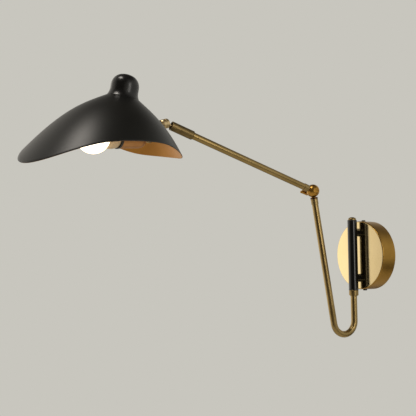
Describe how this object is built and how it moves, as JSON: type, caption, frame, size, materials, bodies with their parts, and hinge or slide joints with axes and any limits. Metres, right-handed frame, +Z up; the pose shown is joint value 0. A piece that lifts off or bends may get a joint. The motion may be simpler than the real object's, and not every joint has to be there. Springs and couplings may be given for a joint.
{
  "type": "swing arm wall lamp",
  "caption": "Wall lamp: a J tube swings in a bearing on a round canopy, an elbow carries the upper arm, and a ball joint holds an oval domed shade with its bulb.",
  "frame": {"origin": "middle of the canopy's back, on the wall, midway between the two wall screws", "axes": "+Z up; +Y into the wall, so the lamp stands out along -Y; +X to the right of someone facing the wall"},
  "size_m": [0.1854, 0.6198, 0.3937],
  "materials": {
    "canopy_brass": "polished and lacquered",
    "arm_brass": "antique, satin brushed",
    "bright_brass": "machined, bright",
    "black_metal": "gloss black",
    "zinc_steel": "yellow passivated zinc",
    "blackened_screw": "blackened steel",
    "nylon": "black nylon",
    "fibre": "vulcanised fibre",
    "block_plastic": "matte moulded",
    "shade_paint": "satin black outside",
    "cap_paint": "gloss black",
    "spacer_aluminium": "turned",
    "holder_plastic": "black phenolic",
    "holder_bronze": "bronze coated moulding",
    "bulb_cap_metal": "rolled thread",
    "housing_plastic": "warm white moulding",
    "globe_plastic": "opal diffuser"
  },
  "bodies": {
    "wall_base": {"wall_plate": "zinc_steel", "canopy": "canopy_brass", "canopy_screws": "blackened_screw", "terminal_block": "block_plastic", "terminal_screws": "bright_brass", "earth_screw": "zinc_steel", "upper_standoff": "black_metal", "lower_standoff": "black_metal", "standoff_washers": "zinc_steel", "standoff_nuts": "zinc_steel", "bearing_tube": "black_metal", "upper_bush": "nylon", "lower_bush": "nylon", "thrust_washer": "nylon"},
    "lower_arm": {"j_tube": "arm_brass", "spindle_cap": "arm_brass", "lower_collar": "arm_brass", "collar_screw": "blackened_screw", "elbow_ring": "black_metal", "elbow_ferrule": "arm_brass", "elbow_lower_half": "arm_brass", "elbow_washer": "fibre", "pivot_screw": "bright_brass", "nut_washer": "arm_brass"},
    "wing_nut": {"wing_nut": "arm_brass"},
    "upper_arm": {"elbow_upper_half": "arm_brass", "arm_ferrule": "arm_brass", "arm_tube": "arm_brass", "end_sleeve": "arm_brass", "sleeve_screw": "blackened_screw", "swivel_bush": "bright_brass"},
    "ball": {"ball_stud": "bright_brass"},
    "socket": {"ball_socket": "bright_brass", "socket_ring": "arm_brass", "shade_nut": "zinc_steel", "shade_nut_washer": "zinc_steel"},
    "shade": {"shade_boss": "arm_brass", "shade": "shade_paint", "inner_spacer": "spacer_aluminium", "lampholder_bracket": "zinc_steel", "holder_nipple": "zinc_steel", "holder_nuts": "zinc_steel", "lampholder_cap": "holder_bronze", "lampholder_body": "holder_bronze", "lampholder_ring": "holder_plastic", "lampholder_contact": "bright_brass", "bulb_cap": "bulb_cap_metal", "bulb_contact": "zinc_steel", "bulb_housing": "housing_plastic", "bulb_globe": "globe_plastic", "top_cap": "cap_paint", "top_cap_stud": "zinc_steel", "top_cap_nut": "zinc_steel"}
  },
  "joints": [
    {"name": "arm_swing", "type": "hinge", "parent": "wall_base", "child": "lower_arm", "pos_m": [0, -0.041, 0], "axis": [0, 0, 1], "range_deg": [-90, 90]},
    {"name": "elbow", "type": "hinge", "parent": "lower_arm", "child": "upper_arm", "pos_m": [0, -0.1256, 0.1091], "axis": [-1, 0, 0], "range_deg": [-55, 60]},
    {"name": "wing_nut_turn", "type": "hinge", "parent": "lower_arm", "child": "wing_nut", "pos_m": [0, -0.1256, 0.1091], "axis": [1, 0, 0], "range_deg": [-90, 90]},
    {"name": "ball_roll", "type": "hinge", "parent": "upper_arm", "child": "ball", "pos_m": [0, -0.39826, 0.19656], "axis": [0, -0.9522, 0.3054], "range_deg": [-90, 90]},
    {"name": "ball_tilt", "type": "hinge", "parent": "ball", "child": "socket", "pos_m": [0, -0.39826, 0.19656], "axis": [0.9143, 0.1237, 0.3858], "range_deg": [-81, 7]},
    {"name": "shade_pan", "type": "hinge", "parent": "socket", "child": "shade", "pos_m": [0, -0.39826, 0.19656], "axis": [0.244, -0.9284, -0.2804], "range_deg": [-90, 90]}
  ]
}
